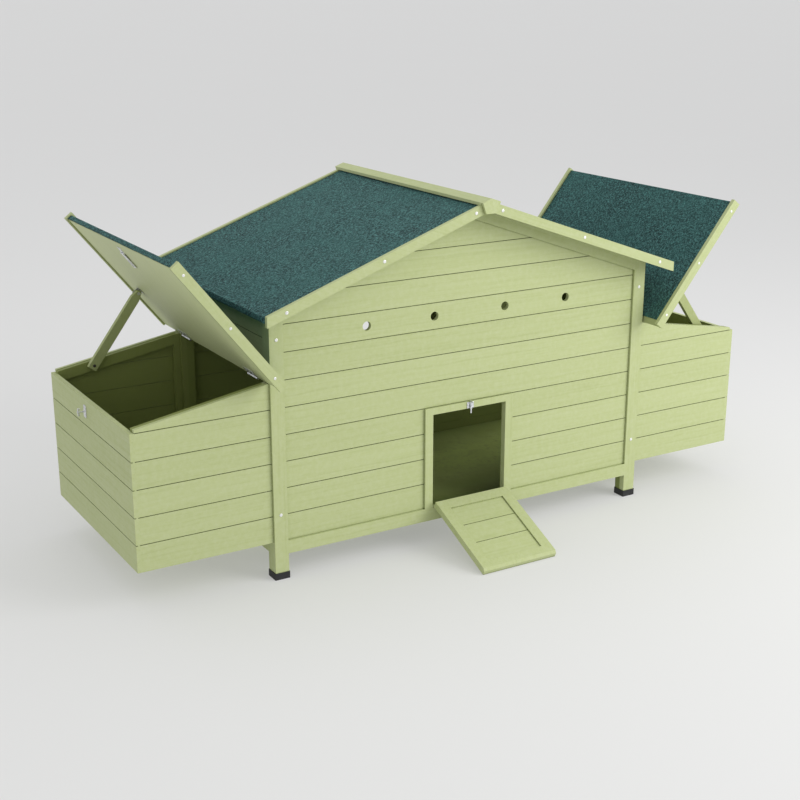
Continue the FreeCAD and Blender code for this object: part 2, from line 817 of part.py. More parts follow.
def hasp_staple():
    """The plate on the outer wall with the fixed neck that the knuckle turns on."""
    z = staple_level()
    plate = box(
        NEST_X,
        NEST_X + LEAF_T,
        HASP_Y - STAPLE_W / 2.0,
        HASP_Y + STAPLE_W / 2.0,
        z - STAPLE_H / 2.0,
        z + STAPLE_H / 2.0,
    )
    flat = [e for e in plate.Edges if abs(e.tangentAt(e.FirstParameter).x) > 0.9]
    plate = plate.makeFillet(STAPLE_ROUND, flat)
    neck = rod(NECK_R, v(NEST_X, HASP_Y, z), X, NECK_OUT + WING_T + GAP)
    cap = rod(NECK_R + 1.0, v(NEST_X + NECK_OUT + WING_T + GAP, HASP_Y, z), X, 1.0)
    return plate.fuse(neck).fuse(cap).removeSplitter()


def hasp_knuckle():
    """The butterfly that turns on the neck, upright as stored."""
    z = staple_level()
    x0 = NEST_X + NECK_OUT
    hub = rod(NECK_R + 2.0, v(x0, HASP_Y, z), X, WING_T)
    y0 = HASP_Y - WING_W / 2.0
    z0 = z - WING_L / 2.0
    wing = box(x0, x0 + WING_T, y0, y0 + WING_W, z0, z0 + WING_L)
    tips = [e for e in wing.Edges if abs(e.tangentAt(e.FirstParameter).x) > 0.9]
    wing = wing.makeFillet(WING_W / 2.0 - 0.2, tips)
    body = hub.fuse(wing).cut(rod(NECK_R + FIT, v(x0 - 1.0, HASP_Y, z), X, WING_T + 2.0))
    return body.removeSplitter()


# ---- ramp door, drawn closed with its outer face at y = 0


def ramp_pose(shape):
    """From closed to lying open with its toe on the ground."""
    copy = shape.copy()
    copy.rotate(v(0, RAMP_AXIS_Y, RAMP_AXIS_Z), X, RAMP_SWING)
    return copy


def ramp_bevel():
    """The wedge taken off the toe's outer edge, across the whole ramp."""
    top = RAIL_TOP + RAMP_PLAY + RAMP_LEN
    wide = HOLE_W
    return prism_x(
        [(RAMP_T, top - RAMP_TOE), (RAMP_T, top + 1.0), (RAMP_T - RAMP_TOE - 1.0, top + 1.0)],
        -wide,
        wide,
    )


def ramp_frame():
    half = HOLE_W / 2.0 - RAMP_PLAY
    low = RAIL_TOP + RAMP_PLAY
    top = low + RAMP_LEN
    inner = half - RAMP_STILE
    stile = box(inner, half, 0.0, RAMP_T, low, top)
    rails = [
        box(-inner, inner, 0.0, RAMP_T, low, low + RAMP_STILE),
        box(-inner, inner, 0.0, RAMP_T, top - RAMP_STILE, top),
    ]
    return without([stile, side_copy(stile)] + rails, ramp_bevel())


def ramp_boards():
    """Boards let into the frame, flush outside and set in on the walking side."""
    half = HOLE_W / 2.0 - RAMP_PLAY - RAMP_STILE
    low = RAIL_TOP + RAMP_PLAY + RAMP_STILE
    span = (RAMP_LEN - 2 * RAMP_STILE) / RAMP_BOARDS
    deep = RAMP_T - RAMP_BOARD_SET
    boards = []
    for k in range(RAMP_BOARDS):
        z0 = low + k * span
        section = board_outline(deep, z0, z0 + span, k > 0, k < RAMP_BOARDS - 1)
        boards.append(prism_x([(deep - y, z) for y, z in section], -half, half))
    return boards


def ramp_hinge(kind):
    """Two butt hinges under the ramp; the drawing's +X is turned to face the front."""
    shapes = []
    for x in (-RAMP_HINGE_X, RAMP_HINGE_X):
        for shape in kind:
            copy = shape.copy()
            copy.rotate(O, Z, -90)
            copy.translate(v(x, RAMP_AXIS_Y, RAMP_AXIS_Z))
            shapes.append(copy)
    return shapes


def bolt_plate():
    """The plate of the small bolt on the header, with two guide loops."""
    low = RAIL_TOP + HOLE_H + BOLT_PLATE_UP
    half = BOLT_PLATE_W / 2.0
    plate = box(-half, half, -LEAF_T, 0.0, low, low + BOLT_PLATE_H)
    y = bolt_y()
    wide = BOLT_R + LEAF_T
    for z in (low, low + BOLT_PLATE_H - LOOP_H):
        loop = rod(wide, v(0, y, z), Z, LOOP_H)
        plate = plate.fuse(loop.fuse(box(-wide, wide, y, 0.0, z, z + LOOP_H)))
    plate = plate.cut(rod(BOLT_R + FIT, v(0, y, low - 1.0), Z, BOLT_PLATE_H + 2.0))
    return plate.removeSplitter()


def bolt_y():
    return -LEAF_T - BOLT_R - GAP


def latch_bolt():
    """The round bolt, hanging down into the pop hole, with its thumb knob."""
    tip = RAIL_TOP + HOLE_H - BOLT_OUT
    y = bolt_y()
    bolt = rod(BOLT_R, v(0, y, tip), Z, BOLT_LEN)
    mid = RAIL_TOP + HOLE_H + BOLT_PLATE_UP + BOLT_PLATE_H + BOLT_R
    knob = rod(KNOB_R, v(0, y, mid), v(0, -1, 0), KNOB_OUT)
    ball = Part.makeSphere(KNOB_BALL_R, v(0, y - KNOB_OUT, mid))
    return bolt.fuse(knob).fuse(ball).removeSplitter()


def cap_screws():
    """White screw caps on the posts and the rake boards."""
    heads = []
    for z in (RAIL_TOP + POST_SCREW_UP, VENT_Z):
        for x in (-POST_X + POST / 2.0, POST_X - POST / 2.0):
            heads.append(rod(SCREW_R, v(x, 0.0, z), v(0, -1, 0), SCREW_H))
    far = EAVE_X - RAKE_SCREW_OUT
    for x in (RAKE_SCREW_IN, (RAKE_SCREW_IN + far) / 2.0, far):
        for side in (-1, 1):
            z = roof_z(x, RAKE_H / COS / 2.0)
            heads.append(rod(SCREW_R, v(side * x, -ROOF_OVER, z), v(0, -1, 0), SCREW_H))
    return heads + [back_copy(h) for h in heads]


# ---- nodes


def root_nodes():
    front_boards = without(gable_wall(), pop_hole_cut())
    return {
        "posts_front": group([post(-1, False), post(1, False)]),
        "posts_back": group([post(-1, True), post(1, True)]),
        "foot_caps": group([foot_cap(s, b) for s in (-1, 1) for b in (False, True)]),
        "bottom_rails": group(bottom_rails()),
        "hinge_rail_right": hinge_rail(),
        "hinge_rail_left": half_turn(hinge_rail()),
        "gable_rafters": group(
            [gable_rafter(), side_copy(gable_rafter())]
            + [back_copy(r) for r in (gable_rafter(), side_copy(gable_rafter()))]
        ),
        "roof_beams": group(roof_beams()),
        "front_wall": group(front_boards),
        "back_wall": group(back_wall()),
        "side_wall_right": group(side_wall()),
        "side_wall_left": group([half_turn(b) for b in side_wall()]),
        "pop_hole_frame": group(pop_hole_frame()),
        "cabin_floor": cabin_floor(),
        "perches": group([perch_at(y) for y in perch_places()]),
        "perch_brackets": group(
            [b for y in perch_places() for b in (perch_bracket(y), side_copy(perch_bracket(y)))]
        ),
        "roof_panel_right": roof_panel(),
        "roof_panel_left": half_turn(roof_panel()),
        "roof_felt_right": roof_felt(),
        "roof_felt_left": half_turn(roof_felt()),
        "rake_boards": group(
            [rake_board(), side_copy(rake_board())]
            + [back_copy(r) for r in (rake_board(), side_copy(rake_board()))]
        ),
        "ridge_cap": group(ridge_cap()),
        "cap_screws": group(cap_screws()),
        "latch_plate": bolt_plate(),
        "latch_bolt": latch_bolt(),
        "sill_hinge_leaves": group(
            ramp_hinge([face_leaf(RAMP_HINGE_W, True, -LEAF_L, 0.0), hinge_pin(RAMP_HINGE_W)])
        ),
    }


def ramp_nodes():
    return {
        "ramp_frame": group([ramp_pose(s) for s in ramp_frame()]),
        "ramp_boards": group([ramp_pose(s) for s in ramp_boards()]),
        "ramp_hinge_leaves": group(
            [ramp_pose(s) for s in ramp_hinge([face_leaf(RAMP_HINGE_W, False, 0.0, LEAF_L)])]
        ),
    }


def side_nodes():
    """Everything on the right side of the cabin that is repeated, turned, on the left."""
    end_wall = nest_end_wall()
    frame = nest_frame()
    hinge_places = lid_hinge_places()
    fixed = []
    for y in hinge_places:
        for shape in (face_leaf(HINGE_W, True, 0.0, LEAF_L), hinge_pin(HINGE_W)):
            copy = at_y(shape, y)
            copy.translate(v(HINGE_X, 0, HINGE_LEVEL))
            fixed.append(copy)
    return {
        "nest_outer_wall": nest_outer_wall(),
        "nest_end_walls": end_wall + [back_copy(b) for b in end_wall],
        "nest_frame": frame + [back_copy(b) for b in frame],
        "nest_floor": [nest_floor()],
        "nest_hinge_leaves": fixed,
        "hasp_staple": [hasp_staple()],
        "hasp_knuckle": [hasp_knuckle()],
        "lid_panel": [lid_pose(lid_panel())],
        "lid_felt": [lid_pose(lid_felt())],
        "lid_battens": [lid_pose(b) for b in lid_battens()],
        "lid_hinge_leaves": [lid_pose(at_y(moving_leaf(HINGE_W), y)) for y in hinge_places],
        "hasp_leaf": [lid_pose(s) for s in hasp_leaf()],
        "hasp_strap": [lid_pose(hasp_strap())],
        "stay_bracket": [lid_pose(stay_bracket())],
        "stay": stay(),
    }


def write(name, shape):
    shape = shape.copy()
    shape.translate(v(0, FRAME_SHIFT_Y, 0))
    for solid in shape.Solids:
        if not solid.isValid() or solid.Volume <= 0:
            raise ValueError("bad solid in " + name)
    shape.exportStep("parts/" + name + ".step")


def main():
    os.makedirs("parts", exist_ok=True)
    nodes = root_nodes()
    nodes.update(ramp_nodes())
    for name, shapes in side_nodes().items():
        nodes[name + "_right"] = group(shapes)
        nodes[name + "_left"] = group([half_turn(s) for s in shapes])
    for name, shape in nodes.items():
        write(name, shape)
    print(len(nodes), "nodes; frame shift", round(FRAME_SHIFT_Y, 3))
    print("ramp swing", round(RAMP_SWING, 4), "ramp axis", round(RAMP_AXIS_Z, 4))
    print("lid slope", round(LID_SLOPE, 4), "lid top", round(HINGE_LEVEL, 4))
    print("hasp axis", round(HASP_AXIS, 4), "lid end", round(LID_END, 4))


main()
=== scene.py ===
import json
import math
import random

import bmesh
import bpy
from mathutils import Matrix, Vector


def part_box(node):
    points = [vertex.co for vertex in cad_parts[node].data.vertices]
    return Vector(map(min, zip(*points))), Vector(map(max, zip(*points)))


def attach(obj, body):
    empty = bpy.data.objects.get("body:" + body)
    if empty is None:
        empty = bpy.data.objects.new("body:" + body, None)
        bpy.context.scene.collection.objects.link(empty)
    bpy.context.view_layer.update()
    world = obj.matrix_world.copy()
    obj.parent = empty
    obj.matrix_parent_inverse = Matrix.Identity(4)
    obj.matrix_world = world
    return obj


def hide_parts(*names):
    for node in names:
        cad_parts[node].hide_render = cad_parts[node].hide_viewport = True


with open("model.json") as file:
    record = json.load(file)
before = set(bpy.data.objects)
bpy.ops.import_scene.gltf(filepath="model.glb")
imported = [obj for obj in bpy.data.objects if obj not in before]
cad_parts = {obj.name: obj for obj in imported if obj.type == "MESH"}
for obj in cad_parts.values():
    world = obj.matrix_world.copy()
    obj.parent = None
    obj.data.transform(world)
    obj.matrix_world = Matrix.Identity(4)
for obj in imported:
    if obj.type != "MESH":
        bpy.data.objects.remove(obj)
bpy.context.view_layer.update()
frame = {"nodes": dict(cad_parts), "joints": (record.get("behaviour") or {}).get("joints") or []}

# Chicken coop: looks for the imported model. Metres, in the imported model's own frame.

NODES = frame["nodes"]
JOINTS = {joint["name"]: joint for joint in frame["joints"]}
SIDES = {"left": -1.0, "right": 1.0}

# Sizes that the looks share with the built coop.
BOARD_PITCH = 0.074
BOARDS_START = 0.107
ROOF_PITCH = math.radians(19.5)
LID_OPEN = math.radians(51.4)
LID_START = 0.019
LID_END = 0.43995
PLAN_SHIFT = -0.235585
MIDDLE_Y = 0.3215 + PLAN_SHIFT
RAMP_SWING = math.radians(113.899)
INNER_FACE_X = 0.5975
INNER_FACE_Y = 0.3029
NEST_INNER_X = 0.9824
CABIN_TOP = 0.955
NEST_TOP = 0.545
NEST_BOTTOM = 0.1072
FELT_THICK = 0.0021
FELT_BEND = 0.0030
ROOF_LIP = 0.0155
LID_LIP = 0.0148
LID_FELT_UP = 0.0165

# Radii of the screw heads, and how far sharp edges are eased.
CAP_SCREW_R = 0.0046
BATTEN_SCREW_R = 0.0038
HINGE_SCREW_R = 0.0029
RAMP_SCREW_R = 0.0026
LEAF_SCREW_R = 0.0024
STAPLE_SCREW_R = 0.0022
LATCH_SCREW_R = 0.0016
STAY_SCREW_R = 0.0044
EASE = 0.0009
EASE_PLY = 0.0006
EASE_BATTEN = 0.0012
EASE_RAMP = 0.0014
EASE_RUBBER = 0.0008
EASE_METAL = 0.0002

# Finishes, and painted light and shade, as linear colours.
PAINT = (0.445, 0.496, 0.240)
PAINT_DEEP = (0.285, 0.332, 0.115)
PAINT_WORN = (0.530, 0.570, 0.360)
PAINT_SHADE = (0.100, 0.125, 0.020)
# painted shade for the faces inside the nest boxes, and more for those inside the cabin
PAINT_INDOOR_SHADE = (0.190, 0.225, 0.050)
PAINT_CABIN_SHADE = (0.190, 0.230, 0.060)
# the lid's board paint, made lighter as painted light on its underside
PLY_PAINT_LIT = (0.580, 0.635, 0.345)
# the floor panel's painted light and painted shade; the darker tone also mottles it
PANEL_LIT_GREEN = (0.760, 0.900, 0.310)
PANEL_SHADE_AND_MOTTLE = (0.120, 0.155, 0.038)
FLOOR_GLOW = 0.305
PINE = (0.560, 0.390, 0.210)
PINE_DARK = (0.340, 0.210, 0.100)
FELT_LIGHT = (0.090, 0.268, 0.256)
FELT_MID = (0.036, 0.108, 0.104)
FELT_DARK = (0.006, 0.018, 0.020)
FELT_TEAL = (0.040, 0.150, 0.138)
RUBBER = (0.012, 0.012, 0.013)
ZINC = (0.78, 0.79, 0.81)
ZINC_DULL = (0.48, 0.49, 0.51)
SCREW_PALE = (0.80, 0.80, 0.77)
FLOOR_TONE = (0.430, 0.430, 0.428)
FLOOR_HAZE = (0.436, 0.436, 0.435)
RUBBER_DUST = (0.05, 0.05, 0.045)
SCREW_DARK = (0.09, 0.085, 0.08)
SCREW_BLACK = (0.04, 0.04, 0.04)
WHITE = (1.0, 1.0, 1.0)
KEY_TONE = (1.0, 0.997, 0.985)
AIR_TONE = (0.90, 0.905, 0.91, 1.0)
AIR_GLOW = 0.87

# The viewpoint: its place, lens, how far it looks down and round from +Y.
VIEW_FROM = (-2.0339, -3.0257 + PLAN_SHIFT, 1.5564)
VIEW_LENS = 61.25
VIEW_SENSOR = 36.0
VIEW_DOWN = math.radians(17.527)
VIEW_ROUND = math.radians(-30.811)


# ---------------------------------------------------------------- node helpers


class Net:
    """A shader tree with short calls for the nodes that the finishes use."""

    def __init__(self, tree):
        self.tree = tree

    def node(self, kind, **props):
        made = self.tree.nodes.new(kind)
        for key, value in props.items():
            setattr(made, key, value)
        return made

    def feed(self, socket, value):
        if isinstance(value, bpy.types.NodeSocket):
            self.tree.links.new(value, socket)
        elif isinstance(value, tuple) and len(value) == 3 and socket.type == "RGBA":
            socket.default_value = (*value, 1.0)
        else:
            socket.default_value = value

    def math(self, operation, a, b=0.0, clamp=False):
        made = self.node("ShaderNodeMath", operation=operation, use_clamp=clamp)
        self.feed(made.inputs[0], a)
        self.feed(made.inputs[1], b)
        return made.outputs[0]

    def mix(self, factor, a, b):
        made = self.node("ShaderNodeMix", data_type="RGBA")
        self.feed(made.inputs[0], factor)
        self.feed(made.inputs[6], a)
        self.feed(made.inputs[7], b)
        return made.outputs[2]

    def span(self, value, low, high, to_low=0.0, to_high=1.0):
        made = self.node("ShaderNodeMapRange", clamp=True)
        for socket, item in zip(made.inputs, (value, low, high, to_low, to_high)):
            self.feed(socket, item)
        return made.outputs[0]

    def stretch(self, vector, scale):
        made = self.node("ShaderNodeVectorMath", operation="MULTIPLY")
        self.feed(made.inputs[0], vector)
        self.feed(made.inputs[1], scale)
        return made.outputs[0]

    def noise(self, vector, scale, detail=2.0, rough=0.5, seed=0.0):
        made = self.node("ShaderNodeTexNoise", noise_dimensions="4D")
        self.feed(made.inputs["Vector"], vector)
        self.feed(made.inputs["W"], seed)
        made.inputs["Scale"].default_value = scale
        made.inputs["Detail"].default_value = detail
        made.inputs["Roughness"].default_value = rough
        return made.outputs["Fac"]

    def cells(self, vector, scale, feature="F1"):
        made = self.node("ShaderNodeTexVoronoi", feature=feature)
        self.feed(made.inputs["Vector"], vector)
        made.inputs["Scale"].default_value = scale
        return made

    def place(self, group, **values):
        made = self.node("ShaderNodeGroup", node_tree=group)
        for key, value in values.items():
            self.feed(made.inputs[key], value)
        return made.outputs


def effect(name, inputs, outputs):
    """An empty shader group with its sockets, and the net to fill it."""
    tree = bpy.data.node_groups.new(name, "ShaderNodeTree")
    for label, kind, value in inputs:
        socket = tree.interface.new_socket(name=label, in_out="INPUT", socket_type=kind)
        if value is not None:
            socket.default_value = value
    for label, kind in outputs:
        tree.interface.new_socket(name=label, in_out="OUTPUT", socket_type=kind)
    net = Net(tree)
    return tree, net, net.node("NodeGroupInput").outputs, net.node("NodeGroupOutput").inputs


NUMBER = "NodeSocketFloat"
VECTOR = "NodeSocketVector"


def wood_grain_effect():
    """Streaks along X of the vector it is given, different on each board up Z."""
    tree, net, given, out = effect(
        "Wood grain",
        [("Vector", VECTOR, None), ("Pitch", NUMBER, BOARD_PITCH), ("Start", NUMBER, 0.0)],
        [("Streaks", NUMBER), ("Fibre", NUMBER), ("Board", NUMBER), ("Knots", NUMBER)],
    )
    split = net.node("ShaderNodeSeparateXYZ")
    net.feed(split.inputs[0], given["Vector"])
    above = net.math("SUBTRACT", split.outputs[2], given["Start"])
    index = net.math("FLOOR", net.math("DIVIDE", above, given["Pitch"]))
    seed = net.math("MULTIPLY", index, 3.71)
    sway = net.noise(net.stretch(given["Vector"], (7.0, 20.0, 20.0)), 1.0, 2.0, 0.5, seed)
    bent = net.node("ShaderNodeVectorMath", operation="ADD")
    push = net.node("ShaderNodeCombineXYZ")
    net.feed(push.inputs[2], net.math("MULTIPLY", sway, 0.012))
    net.feed(bent.inputs[0], given["Vector"])
    net.feed(bent.inputs[1], push.outputs[0])
    wavy = bent.outputs[0]
    slow = net.noise(net.stretch(wavy, (2.5, 165.0, 165.0)), 1.0, 3.0, 0.55, seed)
    fine = net.noise(net.stretch(wavy, (11.0, 400.0, 400.0)), 1.0, 2.0, 0.5, seed)
    fibre = net.noise(net.stretch(wavy, (40.0, 1500.0, 1500.0)), 1.0, 2.0, 0.6, seed)
    knots = net.noise(net.stretch(wavy, (5.0, 24.0, 24.0)), 1.0, 1.0, 0.4, seed)
    chance = net.node("ShaderNodeTexWhiteNoise", noise_dimensions="1D")
    net.feed(chance.inputs["W"], seed)
    streaks = net.math("ADD", net.math("MULTIPLY", slow, 0.65), net.math("MULTIPLY", fine, 0.35))
    net.feed(out["Streaks"], streaks)
    net.feed(out["Fibre"], fibre)
    net.feed(out["Board"], chance.outputs["Value"])
    net.feed(out["Knots"], net.span(knots, 0.66, 0.80))
    return tree


def edge_wear_and_shade_effect():
    """Where a sharp edge has lost its paint, broken up by noise, and painted shade in corners
    and grooves.
    """
    tree, net, given, out = effect(
        "Edge wear and corner shade",
        [("Vector", VECTOR, None), ("Amount", NUMBER, 0.5), ("Reach", NUMBER, 0.006)],
        [("Wear", NUMBER), ("Corner shade", NUMBER)],
    )
    shape = net.node("ShaderNodeNewGeometry")
    ridge = net.span(shape.outputs["Pointiness"], 0.515, 0.60)
    broken = net.span(net.noise(given["Vector"], 70.0, 4.0, 0.65), 0.42, 0.66)
    worn = net.math("MULTIPLY", net.math("MULTIPLY", ridge, broken), given["Amount"])
    corner = net.node("ShaderNodeAmbientOcclusion", samples=6)
    net.feed(corner.inputs["Distance"], given["Reach"])
    net.feed(out["Wear"], worn)
    # ambient occlusion turned into a mask of painted shade in corners and grooves
    net.feed(out["Corner shade"], net.span(corner.outputs["AO"], 0.85, 0.25))
    return tree


def indoors_effect():
    """One inside the cabin and the nest boxes, nought on every outer face."""
    tree, net, given, out = effect(
        "Indoors",
        [("Vector", VECTOR, None)],
        [("Inside", NUMBER), ("Cabin", NUMBER)],
    )
    split = net.node("ShaderNodeSeparateXYZ")
    net.feed(split.inputs[0], given["Vector"])
    across = net.math("ABSOLUTE", split.outputs[0])
    deep = net.math("ABSOLUTE", net.math("SUBTRACT", split.outputs[1], MIDDLE_Y))
    between_gables = net.math("LESS_THAN", deep, INNER_FACE_Y)
    height = split.outputs[2]
    in_cabin = net.math("LESS_THAN", across, INNER_FACE_X)
    in_cabin = net.math("MULTIPLY", in_cabin, net.math("LESS_THAN", height, CABIN_TOP))
    in_nest = net.math("LESS_THAN", across, NEST_INNER_X)
    in_nest = net.math("MULTIPLY", in_nest, net.math("LESS_THAN", height, NEST_TOP))
    in_nest = net.math("MULTIPLY", in_nest, net.math("GREATER_THAN", height, NEST_BOTTOM))
    either = net.math("MAXIMUM", in_cabin, in_nest)
    net.feed(out["Inside"], net.math("MULTIPLY", either, between_gables))
    net.feed(out["Cabin"], net.math("MULTIPLY", in_cabin, between_gables))
    return tree


def granule_effect():
    """Mineral granules pressed into bitumen: tone, height and blotches."""
    tree, net, given, out = effect(
        "Felt granules",
        [("Vector", VECTOR, None), ("Size", NUMBER, 1.0)],
        [("Tone", NUMBER), ("Height", NUMBER), ("Blotch", NUMBER)],
    )
    at = net.node("ShaderNodeVectorMath", operation="SCALE")
    net.feed(at.inputs[0], given["Vector"])
    net.feed(at.inputs["Scale"], given["Size"])
    coarse = net.noise(at.outputs[0], 165.0, 2.0, 0.70)
    grain = net.cells(at.outputs[0], 330.0)
    blotch = net.noise(at.outputs[0], 6.5, 4.0, 0.60)
    split = net.node("ShaderNodeSeparateColor")
    net.feed(split.inputs[0], grain.outputs["Color"])
    chance = net.math("MULTIPLY", split.outputs[0], 0.25)
    tone = net.math("ADD", net.math("MULTIPLY", coarse, 0.75), chance)
    height = net.math("SUBTRACT", coarse, net.math("MULTIPLY", grain.outputs["Distance"], 0.6))
    net.feed(out["Tone"], net.span(tone, 0.30, 0.70))
    net.feed(out["Height"], height)
    net.feed(out["Blotch"], net.span(blotch, 0.34, 0.66))
    return tree


def scuff_effect():
    """Fine scratches and dull patches on plated metal."""
    tree, net, given, out = effect(
        "Scuffed plate",
        [("Vector", VECTOR, None)],
        [("Dull", NUMBER), ("Scratch", NUMBER)],
    )
    patches = net.noise(given["Vector"], 160.0, 4.0, 0.6)
    lines = net.noise(net.stretch(given["Vector"], (180.0, 2600.0, 900.0)), 1.0, 2.0, 0.6)
    net.feed(out["Dull"], net.span(patches, 0.40, 0.68))
    net.feed(out["Scratch"], lines)
    return tree


GRAIN = wood_grain_effect()
WEAR_AND_SHADE = edge_wear_and_shade_effect()
INDOORS = indoors_effect()
GRANULES = granule_effect()
SCUFFS = scuff_effect()


# ---------------------------------------------------------------- finishes


def blank_material(name):
    material = bpy.data.materials.new(name)
    material.use_nodes = True
    net = Net(material.node_tree)
    shader = material.node_tree.nodes["Principled BSDF"]
    coords = net.node("ShaderNodeTexCoord").outputs["Object"]
    return material, net, shader, coords


def turned(net, coords, about_y=0.0, about_z=0.0, about_x=0.0):
    """Coordinates turned so that the wood's length lies along X."""
    made = net.node("ShaderNodeMapping", vector_type="POINT")
    net.feed(made.inputs["Vector"], coords)
    made.inputs["Rotation"].default_value = (about_x, about_y, about_z)
    return made.outputs[0]


def raise_surface(net, shader, height, strength, distance):
    bump = net.node("ShaderNodeBump")
    bump.inputs["Strength"].default_value = strength
    bump.inputs["Distance"].default_value = distance
    net.feed(bump.inputs["Height"], height)
    net.feed(shader.inputs["Normal"], bump.outputs[0])


def painted(
    name, about_x=0.0, about_y=0.0, about_z=0.0, pitch=BOARD_PITCH, depth=1.0, smooth=1.0,
    inside=1.0, shaded=0.0, tint=PAINT, reach=0.006,
):
    """Satin paint brushed on sawn softwood, its grain along the turned X.

    Faces inside the coop get painted shade by the share inside, and every face a flat painted
    shade by the share shaded.
    Painted shade darkens corners and grooves within the reach."""
    material, net, shader, coords = blank_material(name)
    along = turned(net, coords, about_y, about_z, about_x)
    grain = net.place(GRAIN, Vector=along, Pitch=pitch, Start=BOARDS_START)
    edge = net.place(WEAR_AND_SHADE, Vector=coords, Amount=0.45, Reach=reach)
    pale = net.span(grain["Streaks"], 0.46, 0.68)
    tone = net.mix(net.math("MULTIPLY", pale, 0.22 * depth), tint, PAINT_WORN)
    dark_lines = net.span(grain["Streaks"], 0.47, 0.34)
    tone = net.mix(net.math("MULTIPLY", dark_lines, 0.20 * depth), tone, PAINT_DEEP)
    shade = net.span(grain["Board"], 0.0, 1.0, 0.0, 0.10)
    tone = net.mix(shade, tone, PAINT_DEEP)
    tone = net.mix(net.math("MULTIPLY", grain["Knots"], 0.12 * depth), tone, PAINT_DEEP)
    tone = net.mix(net.math("MULTIPLY", edge["Wear"], 0.6), tone, PAINT_WORN)
    indoors = net.place(INDOORS, Vector=coords)
    # painted shade on the faces inside the coop, and more inside the cabin
    tone = net.mix(net.math("MULTIPLY", indoors["Inside"], 0.85 * inside), tone, PAINT_INDOOR_SHADE)
    tone = net.mix(net.math("MULTIPLY", indoors["Cabin"], 0.70 * inside), tone, PAINT_CABIN_SHADE)
    # a flat painted shade over every face, by the share shaded
    tone = net.mix(shaded, tone, PAINT_INDOOR_SHADE)
    # painted shade in corners and grooves, mixed towards PAINT_SHADE
    tone = net.mix(net.math("MULTIPLY", edge["Corner shade"], 0.82), tone, PAINT_SHADE)
    net.feed(shader.inputs["Base Color"], tone)
    net.feed(shader.inputs["Roughness"], net.span(grain["Streaks"], 0.3, 0.7, 0.60, 0.50))
    shader.inputs["Specular IOR Level"].default_value = 0.30
    height = net.math("ADD", grain["Streaks"], net.math("MULTIPLY", grain["Fibre"], 0.35))
    raise_surface(net, shader, height, 0.30 * smooth, 0.0008)
    return material


def bare_pine():
    """Planed softwood for the perches and their cups."""
    material, net, shader, coords = blank_material("Bare pine")
    grain = net.place(GRAIN, Vector=coords, Pitch=0.05, Start=0.0)
    streaks = net.span(grain["Streaks"], 0.35, 0.65)
    tone = net.mix(streaks, PINE_DARK, PINE)
    tone = net.mix(net.math("MULTIPLY", grain["Knots"], 0.6), tone, PINE_DARK)
    net.feed(shader.inputs["Base Color"], tone)
    net.feed(shader.inputs["Roughness"], net.span(grain["Fibre"], 0.3, 0.7, 0.75, 0.55))
    raise_surface(net, shader, grain["Streaks"], 0.4, 0.0008)
    return material


def roofing_felt():
    """Bitumen felt with teal mineral granules, blotched and faintly uneven."""
    material, net, shader, coords = blank_material("Roofing felt")
    grit = net.place(GRANULES, Vector=coords, Size=1.0)
    tone = net.mix(grit["Tone"], FELT_DARK, FELT_MID)
    bright = net.span(grit["Tone"], 0.40, 1.0)
    tone = net.mix(bright, tone, FELT_LIGHT)
    tone = net.mix(net.math("MULTIPLY", grit["Blotch"], 0.42), tone, FELT_TEAL)
    net.feed(shader.inputs["Base Color"], tone)
    net.feed(shader.inputs["Roughness"], net.span(grit["Tone"], 0.0, 1.0, 0.98, 0.72))
    shader.inputs["Specular IOR Level"].default_value = 0.35
    raise_surface(net, shader, grit["Height"], 1.0, 0.0040)
    return material


def smooth_panel():
    """The cabin's sealed floor panel: smooth and faintly glossy, with painted shade at the front
    and far end and painted light between.
    """
    material, net, shader, coords = blank_material("Sealed floor panel")
    cloud = net.span(net.noise(coords, 9.0, 3.0, 0.55), 0.35, 0.65)
    dust = net.span(net.noise(coords, 60.0, 4.0, 0.65), 0.50, 0.72, 0.0, 0.35)
    split = net.node("ShaderNodeSeparateXYZ")
    net.feed(split.inputs[0], coords)
    # painted shade near the front and towards the back, painted light in the middle
    clear_of_front_shade = net.span(split.outputs[1], PLAN_SHIFT + 0.10, PLAN_SHIFT + 0.34)
    shaded = net.span(split.outputs[1], PLAN_SHIFT + 0.62, PLAN_SHIFT + 0.44, 0.2, 1.0)
    tone = net.mix(net.math("MULTIPLY", clear_of_front_shade, shaded), PANEL_SHADE_AND_MOTTLE, PANEL_LIT_GREEN)
    tone = net.mix(net.math("MULTIPLY", cloud, 0.15), tone, PANEL_SHADE_AND_MOTTLE)
    net.feed(shader.inputs["Base Color"], net.mix(dust, tone, PAINT_DEEP))
    net.feed(shader.inputs["Roughness"], net.span(cloud, 0.0, 1.0, 0.42, 0.54))
    raise_surface(net, shader, cloud, 0.10, 0.0006)
    return material


def moulded_rubber():
    material, net, shader, coords = blank_material("Moulded rubber")
    fleck = net.noise(coords, 500.0, 3.0, 0.6)
    dust = net.span(net.noise(coords, 38.0, 4.0, 0.6), 0.46, 0.72, 0.0, 0.5)
    net.feed(shader.inputs["Base Color"], net.mix(dust, RUBBER, RUBBER_DUST))
    net.feed(shader.inputs["Roughness"], net.span(fleck, 0.3, 0.7, 0.55, 0.78))
    raise_surface(net, shader, fleck, 0.25, 0.0004)
    return material


